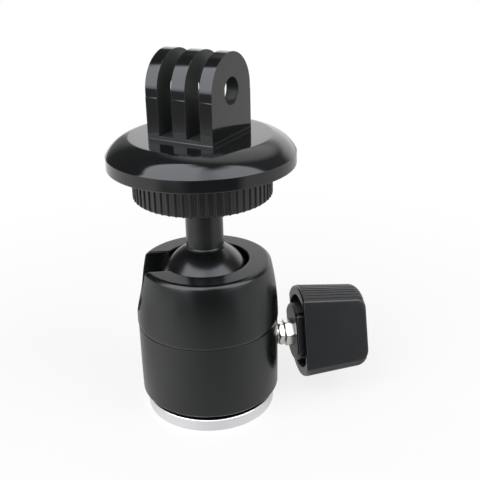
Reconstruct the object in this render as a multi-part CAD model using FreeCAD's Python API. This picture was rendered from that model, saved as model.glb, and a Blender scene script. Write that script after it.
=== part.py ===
import FreeCAD, Part
import math
import os

# Action camera tripod mount: a small ball head that carries a three-prong camera adapter.
# Millimetres, +Z up, origin at the centre of the base ring's underside.
# The clamp screw lies along +X, and the ball drops into the notch on the far side from it.

# Driving dimensions
housing_radius = 15.45
housing_wall = 5.45
thread_radius = 3.175
screw_radius = 2.475
prong_head_radius = 7.5
disc_radius = 19.49
wheel_radius = 14.56
notch_direction = 175.0
prong_direction = -39.6
overrun = 2.0

# Clearances, all radial or one sided
thread_clearance = 0.025
turning_clearance = 0.05
ball_clearance = 0.08
sliding_clearance = 0.15
pressed_clearance = 0.01
passing_clearance = 0.3

# Radii that the threads and the ball set
ball_radius = housing_radius - housing_wall
bore_radius = ball_radius + ball_clearance
stud_hole_radius = thread_radius + thread_clearance

# Lower housing, from the outside inwards
lower_step = 0.14
lower_foot_inset = 0.71
lower_foot_bevel = 0.6
lower_foot_taper = 0.06
skirt_radius_share = 0.5
lower_radius = housing_radius - lower_step
wall_share_reach = lower_radius - bore_radius
skirt_radius = bore_radius + wall_share_reach * skirt_radius_share

# Base ring and plug
ring_inset = 1.27
ring_height = 2.8
ring_bevel = 0.4
ring_foot_bevel = 0.2
groove_radius_share = 0.475
groove_height = 1.1
plug_radius_share = 0.48
plug_engagement = 4.6
spanner_hole_radius = 1.1
spanner_hole_depth = 1.5
spanner_hole_count = 2
spanner_pitch_share = 0.66
base_insert_wall = 1.8
base_thread_floor = 1.0
ring_radius = housing_radius - ring_inset
plug_thread_radius = bore_radius + wall_share_reach * plug_radius_share
groove_radius = plug_thread_radius + (ring_radius - plug_thread_radius) * groove_radius_share
base_insert_radius = stud_hole_radius + base_insert_wall
housing_foot = ring_height + groove_height
plug_top = housing_foot + plug_engagement
base_thread_depth = plug_top - base_thread_floor

# Clamp axis and the stack that it lifts, from the plug upwards
clamp_rise = 5.7
heel_rise = 1.7
carrier_rise = 2.95
carrier_bottom_gap = 0.5
seat_floor_thickness = 1.07
seat_rim_drop = 6.3
clamp_height = plug_top + clamp_rise
seat_bottom_height = clamp_height + carrier_rise
ball_height = seat_bottom_height + seat_floor_thickness + bore_radius
seat_top_height = ball_height - seat_rim_drop

# Wedge and spring
wedge_half_width_share = 0.4464
wedge_reach_share = 0.7242
wedge_heel_face_share = 0.63
wedge_toe_thickness = 1.5
wedge_slope = 0.22
wedge_gap = 0.02
spring_radius_share = 0.8
spring_hole_share = 0.43
spring_thickness = 0.45
spring_rise = 0.45
wedge_half_width = bore_radius * wedge_half_width_share
wedge_reach = bore_radius * wedge_reach_share
wedge_heel_face = wedge_reach * wedge_heel_face_share
wedge_heel_height = clamp_height + heel_rise
spring_radius = wedge_heel_face * spring_radius_share
spring_hole_radius = spring_radius * spring_hole_share

# Stem and stud
stem_wall = 0.9
stem_taper = 0.15
stem_foot_round = 0.5
stem_length = 13.28
stud_foot_depth = 7.4
stud_end_gap = 0.6
stud_end_bevel = 0.375
stem_foot_radius = stud_hole_radius + stem_wall
stem_top_radius = stem_foot_radius - stem_taper
stem_foot_height = ball_height + math.sqrt(ball_radius ** 2 - stem_foot_radius ** 2)
stem_top_height = stem_foot_height + stem_length

# Seam, upper housing, lip and notch
seam_land = 0.725
skirt_depth = 3.2
shoulder_drop = 6.3
shoulder_bulge_share = 0.25
lip_rise = 6.17
lip_inset = 1.5
lip_band = 0.87
lip_edge_round = 0.35
lip_overlap = 0.76
opening_edge_bevel = 0.25
notch_side_gap = 1.0
seam_height = clamp_height + screw_radius + seam_land + skirt_depth
shoulder_height = ball_height - shoulder_drop
lip_height = ball_height + lip_rise
lip_outer_radius = housing_radius - lip_inset
opening_radius = ball_radius - lip_overlap
notch_half_width = stem_foot_radius + notch_side_gap

# Locking wheel
stem_in_wheel = 1.52
wheel_recess_depth = 3.0
wheel_insert_length = 3.02
wheel_rib_count = 57
wheel_rib_depth = 0.42
wheel_crest_share = 0.42
wheel_edge_bevel = 0.3
wheel_insert_wall = 2.3
pad_inset = 1.06
pad_thickness = 0.67
wheel_bottom_height = stem_top_height - stem_in_wheel
wheel_recess_height = wheel_bottom_height + wheel_recess_depth
wheel_top = wheel_recess_height + wheel_insert_length
wheel_insert_radius = stud_hole_radius + wheel_insert_wall
pad_radius = wheel_radius - pad_inset
pad_top = wheel_top + pad_thickness

# Camera adapter
disc_rim_height = 2.66
disc_rim_draft = 0.19
disc_foot_round = 0.35
disc_dome_width = 4.8
disc_dome_rise = 3.52
disc_dome_share = 0.16
prong_floor_rise = 0.6
prong_outer_width = 2.75
prong_middle_width = 3.1
prong_slot_width = 3.2
prong_ledge = 0.15
pivot_rise = 9.27
cross_hole_radius = 2.72
adapter_insert_wall = 2.4
adapter_insert_roof = 1.05
disc_top_radius = disc_radius - disc_dome_width
disc_top = pad_top + disc_rim_height + disc_dome_rise
prong_floor = disc_top + prong_floor_rise
pivot_height = disc_top + pivot_rise
clevis_width = 2 * prong_outer_width + 2 * prong_slot_width + prong_middle_width
adapter_insert_radius = stud_hole_radius + adapter_insert_wall
adapter_insert_top = disc_top - adapter_insert_roof
stud_top_height = adapter_insert_top - stud_end_gap

# Clamp screw, nut, bush and knob
screw_tip_inset = 1.275
screw_tip_length = 1.0
knob_standoff = 4.22
nut_wall = 0.905
nut_thickness = 1.3
nut_groove = 0.2
bush_wall = 1.185
bush_hex_length = 1.82
bush_shank_wall = 0.825
bush_floor_gap = 0.05
hex_corner_bevel = 0.35
knob_rim_gap = 0.85
knob_length = 14.5
knob_rim_radius = 10.4
knob_taper = 1.25
knob_rim_half_depth = 6.9
knob_flat_taper = 0.65
knob_end_round = 2.8
knob_end_wall = 4.2
knob_wall = 1.4
knob_recess_depth = 5.5
knob_hub_wall = 3.2
knob_hub_flat_wall = 1.7
knob_rest_turn = -17.5
screw_tip_radius = screw_radius - screw_tip_inset
nut_half_flats = screw_radius + nut_wall
bush_half_flats = screw_radius + bush_wall
bush_shank_radius = screw_radius + bush_shank_wall
clamp_face_x = housing_radius + knob_standoff
bush_start_x = clamp_face_x - bush_hex_length
nut_end_x = bush_start_x - nut_groove
nut_start_x = nut_end_x - nut_thickness
knob_rim_x = clamp_face_x + knob_rim_gap
knob_floor_x = knob_rim_x + knob_recess_depth
knob_end_x = knob_rim_x + knob_length
bush_end_x = knob_floor_x - bush_floor_gap
screw_end_x = knob_end_x - knob_end_wall

# Directions
origin = FreeCAD.Vector(0, 0, 0)
x_axis = FreeCAD.Vector(1, 0, 0)
y_axis = FreeCAD.Vector(0, 1, 0)
z_axis = FreeCAD.Vector(0, 0, 1)


def outline(place, start, steps):
    """Closed face: a step is a point for a line, or a middle and an end point for an arc."""
    edges = []
    first = place(*start)
    here = first
    for step in steps:
        end = place(*step[-2:])
        if len(step) == 4:
            edges.append(Part.Arc(here, place(*step[:2]), end).toShape())
        else:
            edges.append(Part.makeLine(here, end))
        here = end
    if here != first:
        edges.append(Part.makeLine(here, first))
    return Part.Face(Part.Wire(edges))


def upright(first, second):
    """A point of an outline drawn in the XZ plane."""
    return FreeCAD.Vector(first, 0, second)


def lathe(start, steps):
    """Solid of revolution about Z from an outline of radius and height."""
    return outline(upright, start, steps).revolve(origin, z_axis, 360)


def cylinder(radius, bottom, top):
    """Cylinder on the Z axis between two heights."""
    return Part.makeCylinder(radius, top - bottom, FreeCAD.Vector(0, 0, bottom), z_axis)


def prism(start, steps, half_width):
    """Outline in the XZ plane, extruded to both sides along Y."""
    face = outline(upright, start, steps)
    face.translate(y_axis * -half_width)
    return face.extrude(y_axis * (2 * half_width))


def on_clamp_axis(shape):
    """Turns a shape that was made along Z, so that its height lies along the clamp screw."""
    shape.rotate(origin, y_axis, 90)
    shape.translate(z_axis * clamp_height)
    return shape


def hexagon(half_flats, bottom, top):
    """Hexagonal bar along Z with its corners bevelled at both ends."""
    corner = half_flats / math.cos(math.radians(30))
    points = [(corner * math.cos(math.radians(60 * side)), corner * math.sin(math.radians(60 * side)))
              for side in range(6)]
    face = outline(lambda x, y: FreeCAD.Vector(x, y, bottom), points[0], points[1:])
    bar = face.extrude(z_axis * (top - bottom))
    inner = corner - hex_corner_bevel
    fall = hex_corner_bevel / 2
    turned = lathe((0, bottom), [(inner, bottom), (corner, bottom + fall), (corner, top - fall),
                                 (inner, top), (0, top)])
    return bar.common(turned)


def corner_arc(centre_radius, centre_height, size):
    """Middle and end point of a quarter arc from the outside up to the top."""
    reach = size * math.cos(math.radians(45))
    return (centre_radius + reach, centre_height + reach, centre_radius, centre_height + size)


def base_plug():
    """Base ring, groove and threaded plug in one turned piece."""
    shape = lathe((0, 0), [
        (ring_radius - ring_foot_bevel, 0),
        (ring_radius, ring_foot_bevel),
        (ring_radius, ring_height - ring_bevel),
        (ring_radius - ring_bevel, ring_height),
        (groove_radius, ring_height),
        (groove_radius, housing_foot),
        (plug_thread_radius, housing_foot),
        (plug_thread_radius, plug_top),
        (0, plug_top)])
    shape = shape.cut(cylinder(base_insert_radius + pressed_clearance, -overrun, plug_top + overrun))
    for index in range(spanner_hole_count):
        hole = cylinder(spanner_hole_radius, -overrun, spanner_hole_depth)
        hole.translate(y_axis * (ring_radius * spanner_pitch_share))
        hole.rotate(origin, z_axis, index * 360 / spanner_hole_count)
        shape = shape.cut(hole)
    return shape


def base_insert():
    """Blind steel thread for the tripod's screw."""
    shape = cylinder(base_insert_radius, 0, plug_top)
    return shape.cut(cylinder(stud_hole_radius, -overrun, base_thread_depth))


def lower_housing():
    """Lower shell: thread for the plug, ball bore, thread for the upper shell, clamp bore."""
    shape = lathe((plug_thread_radius + turning_clearance, housing_foot), [
        (lower_radius - lower_foot_inset, housing_foot),
        (lower_radius - lower_foot_taper, housing_foot + lower_foot_bevel),
        (lower_radius, seam_height - lower_step),
        (lower_radius - lower_step, seam_height),
        (skirt_radius + turning_clearance, seam_height),
        (skirt_radius + turning_clearance, seam_height - skirt_depth),
        (bore_radius, seam_height - skirt_depth),
        (bore_radius, plug_top),
        (plug_thread_radius + turning_clearance, plug_top)])
    bore = cylinder(screw_radius + turning_clearance, 0, housing_radius + overrun)
    return shape.cut(on_clamp_axis(bore))


def upper_housing():
    """Upper shell: skirt, shoulder, lip over the ball, opening and drop notch."""
    cavity_top = ball_height + math.sqrt(bore_radius ** 2 - opening_radius ** 2)
    cavity_half_angle = math.asin(opening_radius / bore_radius) / 2 + math.radians(45)
    shoulder_end = lip_height - lip_band
    shoulder_middle = (shoulder_height + shoulder_end) / 2
    shoulder_pull = lip_inset * shoulder_bulge_share
    shape = lathe((bore_radius, seam_height - skirt_depth), [
        (skirt_radius, seam_height - skirt_depth),
        (skirt_radius, seam_height),
        (housing_radius - lower_step, seam_height),
        (housing_radius, seam_height + lower_step),
        (housing_radius, shoulder_height),
        (housing_radius - shoulder_pull, shoulder_middle, lip_outer_radius, shoulder_end),
        (lip_outer_radius, lip_height - lip_edge_round),
        corner_arc(lip_outer_radius - lip_edge_round, lip_height - lip_edge_round, lip_edge_round),
        (opening_radius + opening_edge_bevel, lip_height),
        (opening_radius, lip_height - opening_edge_bevel),
        (opening_radius, cavity_top),
        (bore_radius * math.sin(cavity_half_angle), ball_height + bore_radius * math.cos(cavity_half_angle),
         bore_radius, ball_height)])
    notch = Part.makeCylinder(notch_half_width, housing_radius + overrun,
                              FreeCAD.Vector(0, 0, ball_height), x_axis)
    slot = Part.makeBox(housing_radius + overrun, 2 * notch_half_width, lip_height - ball_height + overrun,
                        FreeCAD.Vector(0, -notch_half_width, ball_height))
    notch = notch.fuse(slot)
    notch.rotate(origin, z_axis, notch_direction)
    return shape.cut(notch)


def ramp_height(x):
    """Height of the wedge's ramp above the ground plane at a place along the screw."""
    return plug_top + wedge_toe_thickness + wedge_slope * (x + wedge_reach)


def wedge():
    """Brass wedge with a ramp and an upright heel that the screw's tip meets."""
    return prism((-wedge_reach, plug_top), [
        (wedge_reach, plug_top),
        (wedge_reach, wedge_heel_height),
        (wedge_heel_face, wedge_heel_height),
        (wedge_heel_face, ramp_height(wedge_heel_face)),
        (-wedge_reach, ramp_height(-wedge_reach))], wedge_half_width)


def seat_carrier():
    """Round carrier with a sloped channel for the wedge, a slot for its heel and a spring pocket."""
    bottom = plug_top + carrier_bottom_gap
    side = bore_radius + overrun
    slot_face = wedge_heel_face - passing_clearance
    shape = cylinder(bore_radius - sliding_clearance, bottom, seat_bottom_height)
    channel = prism((-side, plug_top), [
        (side, plug_top),
        (side, seat_bottom_height + overrun),
        (slot_face, seat_bottom_height + overrun),
        (slot_face, ramp_height(slot_face) + wedge_gap),
        (-side, ramp_height(-side) + wedge_gap)], wedge_half_width + sliding_clearance)
    pocket = cylinder(spring_radius + sliding_clearance,
                      seat_bottom_height - spring_thickness - spring_rise,
                      seat_bottom_height + overrun)
    return shape.cut(channel).cut(pocket)


def seat_spring():
    """Small disc spring, wide side down."""
    floor = seat_bottom_height - spring_thickness - spring_rise
    return lathe((spring_radius, floor), [
        (spring_radius, floor + spring_thickness),
        (spring_hole_radius, seat_bottom_height),
        (spring_hole_radius, floor + spring_rise)])


def ball_seat():
    """Nylon cup with the ball's hollow."""
    shape = cylinder(bore_radius - sliding_clearance, seat_bottom_height, seat_top_height)
    return shape.cut(Part.makeSphere(bore_radius, FreeCAD.Vector(0, 0, ball_height)))


def ball():
    """Ball with a flat for the stem and a threaded hole for the stud."""
    shape = Part.makeSphere(ball_radius, FreeCAD.Vector(0, 0, ball_height))
    shape = shape.cut(cylinder(ball_radius, stem_foot_height, ball_height + ball_radius + overrun))
    return shape.cut(cylinder(stud_hole_radius, stem_foot_height - stud_foot_depth,
                              stem_foot_height + overrun))


def stem():
    """Post that widens slightly downwards, with its foot rounded in towards the ball."""
    reach = stem_foot_round * math.cos(math.radians(45))
    round_radius = stem_foot_radius - stem_foot_round
    round_height = stem_foot_height + stem_foot_round
    return lathe((stud_hole_radius, stem_foot_height), [
        (round_radius, stem_foot_height),
        (round_radius + reach, round_height - reach, stem_foot_radius, round_height),
        (stem_top_radius, stem_top_height),
        (stud_hole_radius, stem_top_height)])


def stud():
    """Threaded stud from the ball through the stem and the wheel into the adapter."""
    bottom = stem_foot_height - stud_foot_depth
    return lathe((0, bottom), [
        (thread_radius, bottom),
        (thread_radius, stud_top_height - stud_end_bevel),
        (thread_radius - stud_end_bevel, stud_top_height),
        (0, stud_top_height)])


def wheel_ribs(bottom, top):
    """Bar with the wheel's ribs: a flat crest and a hollow for each."""
    step = 2 * math.pi / wheel_rib_count
    crest = step * wheel_crest_share
    root = wheel_radius - wheel_rib_depth

    def place(radius, angle):
        return FreeCAD.Vector(radius * math.cos(angle), radius * math.sin(angle), bottom)

    steps = []
    for index in range(wheel_rib_count):
        start = index * step
        steps.append((wheel_radius, start + crest))
        steps.append((root, start + (crest + step) / 2, wheel_radius, start + step))
    face = outline(place, (wheel_radius, 0), steps[:-1] + [steps[-1][:2] + (wheel_radius, 0)])
    return face.extrude(z_axis * (top - bottom))


def lock_wheel():
    """Ribbed locking wheel with a recess for the stem and a seat for its insert."""
    ribs = wheel_ribs(wheel_bottom_height, wheel_top)
    inner = wheel_radius - wheel_edge_bevel
    turned = lathe((0, wheel_bottom_height), [
        (inner, wheel_bottom_height),
        (wheel_radius, wheel_bottom_height + wheel_edge_bevel),
        (wheel_radius, wheel_top - wheel_edge_bevel),
        (inner, wheel_top),
        (0, wheel_top)])
    shape = ribs.common(turned)
    shape = shape.cut(cylinder(stem_foot_radius + passing_clearance, wheel_bottom_height - overrun,
                               wheel_recess_height))
    return shape.cut(cylinder(wheel_insert_radius + pressed_clearance, wheel_recess_height,
                              wheel_top + overrun))


def wheel_insert():
    """Brass threaded insert of the wheel."""
    shape = cylinder(wheel_insert_radius, wheel_recess_height, wheel_top)
    return shape.cut(cylinder(stud_hole_radius, wheel_recess_height - overrun, wheel_top + overrun))


def rubber_pad():
    """Rubber disc between the wheel and the adapter."""
    shape = cylinder(pad_radius, wheel_top, pad_top)
    return shape.cut(cylinder(thread_radius + passing_clearance, wheel_top - overrun, pad_top + overrun))


def adapter_disc():
    """Domed disc under the prongs."""
    rim_top = pad_top + disc_rim_height
    rim_radius = disc_radius - disc_rim_draft
    run = rim_radius - disc_top_radius
    rise = disc_top - rim_top
    reach = disc_foot_round * math.cos(math.radians(45))
    foot_radius = disc_radius - disc_foot_round
    foot_height = pad_top + disc_foot_round
    return lathe((0, pad_top), [
        (foot_radius, pad_top),
        (foot_radius + reach, foot_height - reach, disc_radius, foot_height),
        (rim_radius, rim_top),
        (rim_radius - run / 2 + rise * disc_dome_share, rim_top + rise / 2 + run * disc_dome_share,
         disc_top_radius, disc_top),
        (0, disc_top)])


def adapter():
    """Disc with three prongs, two slots, the cross hole and the insert's pocket."""
    half_depth = prong_head_radius + prong_ledge
    root = disc_top - prong_floor_rise
    prongs = outline(lambda y, z: FreeCAD.Vector(-clevis_width / 2, y, z), (-half_depth, root), [
        (half_depth, root),
        (half_depth, pivot_height),
        (prong_head_radius, pivot_height),
        (0, pivot_height + prong_head_radius, -prong_head_radius, pivot_height),
        (-half_depth, pivot_height)]).extrude(x_axis * clevis_width)
    slot_size = FreeCAD.Vector(prong_slot_width, 2 * (half_depth + overrun),
                               pivot_height + prong_head_radius + overrun - prong_floor)
    for left in (-prong_middle_width / 2 - prong_slot_width, prong_middle_width / 2):
        corner = FreeCAD.Vector(left, -half_depth - overrun, prong_floor)
        prongs = prongs.cut(Part.makeBox(slot_size.x, slot_size.y, slot_size.z, corner))
    hole_length = clevis_width + 2 * overrun
    hole = Part.makeCylinder(cross_hole_radius, hole_length,
                             FreeCAD.Vector(-hole_length / 2, 0, pivot_height), x_axis)
    prongs = prongs.cut(hole)
    prongs.rotate(origin, z_axis, prong_direction)
    shape = adapter_disc().fuse(prongs)
    pocket = cylinder(adapter_insert_radius + pressed_clearance, pad_top - overrun,
                      adapter_insert_top)
    return shape.cut(pocket).removeSplitter()


def adapter_insert():
    """Brass threaded insert under the disc."""
    shape = cylinder(adapter_insert_radius, pad_top, adapter_insert_top)
    return shape.cut(cylinder(stud_hole_radius, pad_top - overrun, adapter_insert_top + overrun))


def clamp_screw():
    """Clamp screw from the wedge's heel into the knob."""
    return on_clamp_axis(lathe((0, wedge_reach), [
        (screw_tip_radius, wedge_reach),
        (screw_tip_radius, wedge_reach + screw_tip_length),
        (screw_radius, wedge_reach + screw_tip_length),
        (screw_radius, screw_end_x),
        (0, screw_end_x)]))


def lock_nut():
    """Thin hexagonal nut on the clamp screw."""
    shape = hexagon(nut_half_flats, nut_start_x, nut_end_x)
    return on_clamp_axis(shape.cut(cylinder(screw_radius + thread_clearance, nut_start_x - overrun,
                                            nut_end_x + overrun)))


def knob_bush():
    """Hexagonal bush with a round shank inside the knob's hub."""
    shape = hexagon(bush_half_flats, bush_start_x, clamp_face_x)
    shape = shape.fuse(cylinder(bush_shank_radius, clamp_face_x, bush_end_x))
    return on_clamp_axis(shape.cut(cylinder(screw_radius + thread_clearance, bush_start_x - overrun,
                                            bush_end_x + overrun)))


def flattened(start, end, radii, half_depths):
    """Cone between two places with a flat on each side, tapered as well."""
    cone = lathe((0, start), [(radii[0], start), (radii[1], end), (0, end)])
    reach = max(radii)
    slab = outline(lambda y, z: FreeCAD.Vector(-reach, y, z), (-half_depths[0], start), [
        (half_depths[0], start),
        (half_depths[1], end),
        (-half_depths[1], end)]).extrude(x_axis * (2 * reach))
    return cone.common(slab)


def knob():
    """Flattened, tapered clamp knob with a hub inside its hollow rim."""
    end_radius = knob_rim_radius - knob_taper
    end_half_depth = knob_rim_half_depth - knob_flat_taper
    inner_radius = knob_rim_radius - knob_wall
    inner_half_depth = knob_rim_half_depth - knob_wall
    hub_radius = bush_shank_radius + knob_hub_wall
    hub_half_depth = bush_shank_radius + knob_hub_flat_wall
    round_start = knob_end_x - knob_end_round
    shape = flattened(knob_rim_x, knob_end_x, (knob_rim_radius, end_radius),
                      (knob_rim_half_depth, end_half_depth))
    rounded = lathe((0, knob_rim_x), [
        (knob_rim_radius, knob_rim_x),
        (knob_rim_radius, round_start),
        (end_radius, round_start),
        corner_arc(end_radius - knob_end_round, round_start, knob_end_round),
        (0, knob_end_x)])
    shape = shape.common(rounded)
    shape = shape.cut(flattened(knob_rim_x - overrun, knob_floor_x, (inner_radius, inner_radius),
                                (inner_half_depth, inner_half_depth)))
    hub = flattened(clamp_face_x, knob_floor_x, (hub_radius, hub_radius),
                    (hub_half_depth, hub_half_depth))
    shape = shape.fuse(hub)
    shape = shape.cut(cylinder(bush_shank_radius + pressed_clearance, clamp_face_x - overrun, bush_end_x))
    shape = shape.cut(cylinder(screw_radius + thread_clearance, clamp_face_x - overrun, screw_end_x))
    shape = on_clamp_axis(shape)
    shape.rotate(FreeCAD.Vector(0, 0, clamp_height), x_axis, knob_rest_turn)
    return shape


# Every piece is written to a file of its own
pieces = {
    "base_plug": base_plug,
    "base_insert": base_insert,
    "lower_housing": lower_housing,
    "upper_housing": upper_housing,
    "wedge": wedge,
    "seat_carrier": seat_carrier,
    "seat_spring": seat_spring,
    "ball_seat": ball_seat,
    "ball": ball,
    "stem": stem,
    "stud": stud,
    "lock_wheel": lock_wheel,
    "wheel_insert": wheel_insert,
    "rubber_pad": rubber_pad,
    "adapter": adapter,
    "adapter_insert": adapter_insert,
    "clamp_screw": clamp_screw,
    "lock_nut": lock_nut,
    "knob_bush": knob_bush,
    "knob": knob,
}

os.makedirs("parts", exist_ok=True)
for name, make in pieces.items():
    solid = make()
    print(name, solid.isValid(), len(solid.Solids), round(solid.Volume, 2))
    solid.exportStep("parts/" + name + ".step")
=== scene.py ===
import logging
import math
from dataclasses import dataclass, field
from enum import Enum
from typing import Callable, Iterable, Mapping, Optional, Sequence, Union

import bmesh
import bpy
from mathutils import Matrix, Vector


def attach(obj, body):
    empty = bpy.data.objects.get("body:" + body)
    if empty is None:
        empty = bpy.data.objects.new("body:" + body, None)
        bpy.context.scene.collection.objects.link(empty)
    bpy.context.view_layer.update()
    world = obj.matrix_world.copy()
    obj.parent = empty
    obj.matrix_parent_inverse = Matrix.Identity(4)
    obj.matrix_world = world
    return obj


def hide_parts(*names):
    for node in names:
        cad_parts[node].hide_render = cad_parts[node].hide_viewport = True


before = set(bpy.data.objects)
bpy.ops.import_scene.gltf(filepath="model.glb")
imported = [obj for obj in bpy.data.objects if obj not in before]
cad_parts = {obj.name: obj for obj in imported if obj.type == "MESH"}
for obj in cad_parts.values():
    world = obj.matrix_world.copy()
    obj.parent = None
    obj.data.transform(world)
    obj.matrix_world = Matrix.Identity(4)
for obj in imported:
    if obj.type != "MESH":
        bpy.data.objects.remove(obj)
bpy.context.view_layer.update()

log = logging.getLogger("camera_mount")

# Everything is drawn in millimetres and scaled on its way into a mesh
MM = 0.001
# Angles of the points of a quarter round
QUARTER = (0, 22.5, 45, 67.5, 90)
IMAGE_SIDE = 480
LEVEL = Matrix.Identity(4)
# Edges that turn by more than this, in degrees, stay sharp
SHARP = 38.0

Point2 = tuple[float, float]
Point3 = tuple[float, float, float]
Colour = tuple[float, float, float]
Ring = list[bmesh.types.BMVert]
Inputs = Mapping[Union[str, int], object]
Object = bpy.types.Object
Material = bpy.types.Material
Socket = bpy.types.NodeSocket
Finishes = dict[str, Material]


# Outlines


@dataclass(frozen=True)
class Corner:
    """A corner of a drawn outline and the radius that rounds it."""

    across: float
    up: float
    rounding: float = 0.0


def polar(radius: float, angle: float) -> Point2:
    """Point at a radius and an angle in degrees."""
    return radius * math.cos(math.radians(angle)), radius * math.sin(math.radians(angle))


def arc_points(centre: Point2, radius: float, start: float, end: float, steps: int) -> list[Point2]:
    """Points along an arc.

    Args:
        centre: The arc's centre.
        radius: Its radius.
        start: First angle, in degrees.
        end: Last angle, in degrees.
        steps: Number of chords.

    Returns:
        The points from the first angle to the last, both included.
    """
    spokes = (polar(radius, start + (end - start) * step / steps) for step in range(steps + 1))
    return [(centre[0] + across, centre[1] + up) for across, up in spokes]


def rounded(corners: Sequence[Corner], turn: float = 11.0) -> list[Point2]:
    """Outline with its corners rounded.

    Args:
        corners: The corners in order. The ends aren't rounded, and meet where the outline is closed.
        turn: Largest turn of one chord of a rounding, in degrees.

    Returns:
        The outline's points.
    """
    points: list[Point2] = []
    for index, corner in enumerate(corners):
        here = Vector((corner.across, corner.up))
        if corner.rounding == 0 or index in (0, len(corners) - 1):
            points.append((here.x, here.y))
            continue
        back, ahead = ((Vector((other.across, other.up)) - here).normalized()
                       for other in (corners[index - 1], corners[index + 1]))
        half = back.angle(ahead) / 2
        reach = corner.rounding / math.tan(half)
        centre = here + (back + ahead).normalized() * (corner.rounding / math.sin(half))
        first, last = here + back * reach - centre, here + ahead * reach - centre
        swing = math.degrees(first.angle_signed(last))
        start = math.degrees(math.atan2(first.y, first.x))
        steps = max(2, math.ceil(abs(swing) / turn))
        points += arc_points((centre.x, centre.y), corner.rounding, start, start - swing, steps)
    return points


# Meshes


class Build:
    """A mesh in the making, in millimetres, from rings of points."""

    def __init__(self) -> None:
        """Start with no points."""
        self.mesh = bmesh.new()

    def ring(self, points: Iterable[Point3]) -> Ring:
        """Add points and return their vertices."""
        return [self.mesh.verts.new(point) for point in points]

    def circle(self, radius: float, height: float, count: int = 72) -> Ring:
        """Add a ring round the Z axis, or a single vertex for a radius of nought."""
        turns = [360 * index / count for index in range(count)] if radius > 1e-6 else [0]
        return self.ring((*polar(radius, turn), height) for turn in turns)

    def bridge(self, first: Ring, second: Ring, closed: bool = True) -> None:
        """Join two rings by a band of faces.

        Args:
            first: One ring, or a single vertex.
            second: The other ring, with as many vertices, or a single one.
            closed: Whether the band goes all the way round.
        """
        count = max(len(first), len(second))
        for index in range(count if closed else count - 1):
            after = (index + 1) % count
            corners: Ring = []
            for ring, place in ((first, index), (first, after), (second, after), (second, index)):
                vertex = ring[place] if len(ring) > 1 else ring[0]
                if vertex not in corners:
                    corners.append(vertex)
            if len(corners) > 2:
                self.mesh.faces.new(corners)

    def loft(self, rings: Sequence[Ring], closed: bool = False) -> None:
        """Join rings in order.

        Args:
            rings: Rings of vertices of one length, or single vertices at a pole.
            closed: Whether the last ring joins the first. Otherwise open ends get a cap.
        """
        for first, second in zip(rings, rings[1:]):
            self.bridge(first, second)
        if closed:
            self.bridge(rings[-1], rings[0])
            return
        for end in (rings[0], rings[-1]):
            if len(end) > 2:
                self.mesh.faces.new(end)

    def piece(self, name: str, place: Matrix = LEVEL, sharp: float = SHARP) -> Object:
        """Finish the mesh and put it in the scene.

        Args:
            name: The piece's name.
            place: Turn and shift of the drawn shape, in millimetres.
            sharp: Edges that turn by more than this, in degrees, stay sharp.

        Returns:
            The new object, at the origin.
        """
        bmesh.ops.remove_doubles(self.mesh, verts=self.mesh.verts[:], dist=1e-4)
        bmesh.ops.transform(self.mesh, matrix=Matrix.Scale(MM, 4) @ place, verts=self.mesh.verts[:])
        bmesh.ops.recalc_face_normals(self.mesh, faces=self.mesh.faces[:])
        data = bpy.data.meshes.new(name)
        self.mesh.to_mesh(data)
        self.mesh.free()
        return shaded(linked(name, data), sharp)


def linked(name: str, data: Optional[bpy.types.ID]) -> Object:
    """Put an object with some data in the scene and return it."""
    made = bpy.data.objects.new(name, data)
    bpy.context.scene.collection.objects.link(made)
    return made


def shaded(piece: Object, sharp: float = SHARP) -> Object:
    """Shade a piece smooth, apart from its sharp edges, and return it."""
    piece.data.shade_smooth()
    piece.data.set_sharp_from_angle(angle=math.radians(sharp))
    return piece


def settled(piece: Object) -> Object:
    """Turn a piece with modifiers into a plain mesh.

    Args:
        piece: The piece.

    Returns:
        The same piece.
    """
    graph = bpy.context.evaluated_depsgraph_get()
    made = bpy.data.meshes.new_from_object(piece.evaluated_get(graph), preserve_all_data_layers=True,
                                           depsgraph=graph)
    before = piece.data
    piece.modifiers.clear()
    piece.data = made
    bpy.data.meshes.remove(before)
    made.name = piece.name
    return piece


def modified(piece: Object, kind: str, settings: Mapping[str, object]) -> Object:
    """Apply one modifier to a piece.

    Args:
        piece: The piece.
        kind: The modifier's type.
        settings: Its settings.

    Returns:
        The same piece.
    """
    modifier = piece.modifiers.new(kind.lower(), kind)
    for name, value in settings.items():
        setattr(modifier, name, value)
    return settled(piece)


def weighed(piece: Object) -> Object:
    """Give a piece normals that follow its large faces and return it."""
    return modified(piece, "WEIGHTED_NORMAL", {"keep_sharp": True, "weight": 100})


class Cut(Enum):
    """Ways to combine two solids."""

    AWAY = "DIFFERENCE"
    WITH = "UNION"


def combined(piece: Object, tool: Object, way: Cut) -> Object:
    """Combine a piece with a tool solid, which is used up.

    Args:
        piece: The piece that stays.
        tool: The other solid.
        way: How they combine.

    Returns:
        The piece.
    """
    modified(piece, "BOOLEAN", {"operation": way.value, "solver": "EXACT", "object": tool})
    bpy.data.objects.remove(tool)
    return shaded(piece)


def turned(name: str, outline: Sequence[Point2], segments: int = 160, place: Matrix = LEVEL,
           sharp: float = SHARP) -> Object:
    """Solid of revolution about the drawing's Z axis.

    Args:
        name: The piece's name.
        outline: Points of radius and height. It starts and ends on the axis, or closes on itself.
        segments: Number of facets round the axis.
        place: Turn and shift of the drawn shape.
        sharp: Edges that turn by more than this stay sharp.

    Returns:
        The new object.
    """
    build = Build()
    closed = outline[0] == outline[-1]
    rings = [build.circle(radius, height, segments) for radius, height in (outline[:-1] if closed else outline)]
    build.loft(rings, closed)
    return build.piece(name, place, sharp)


# Nodes


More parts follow.
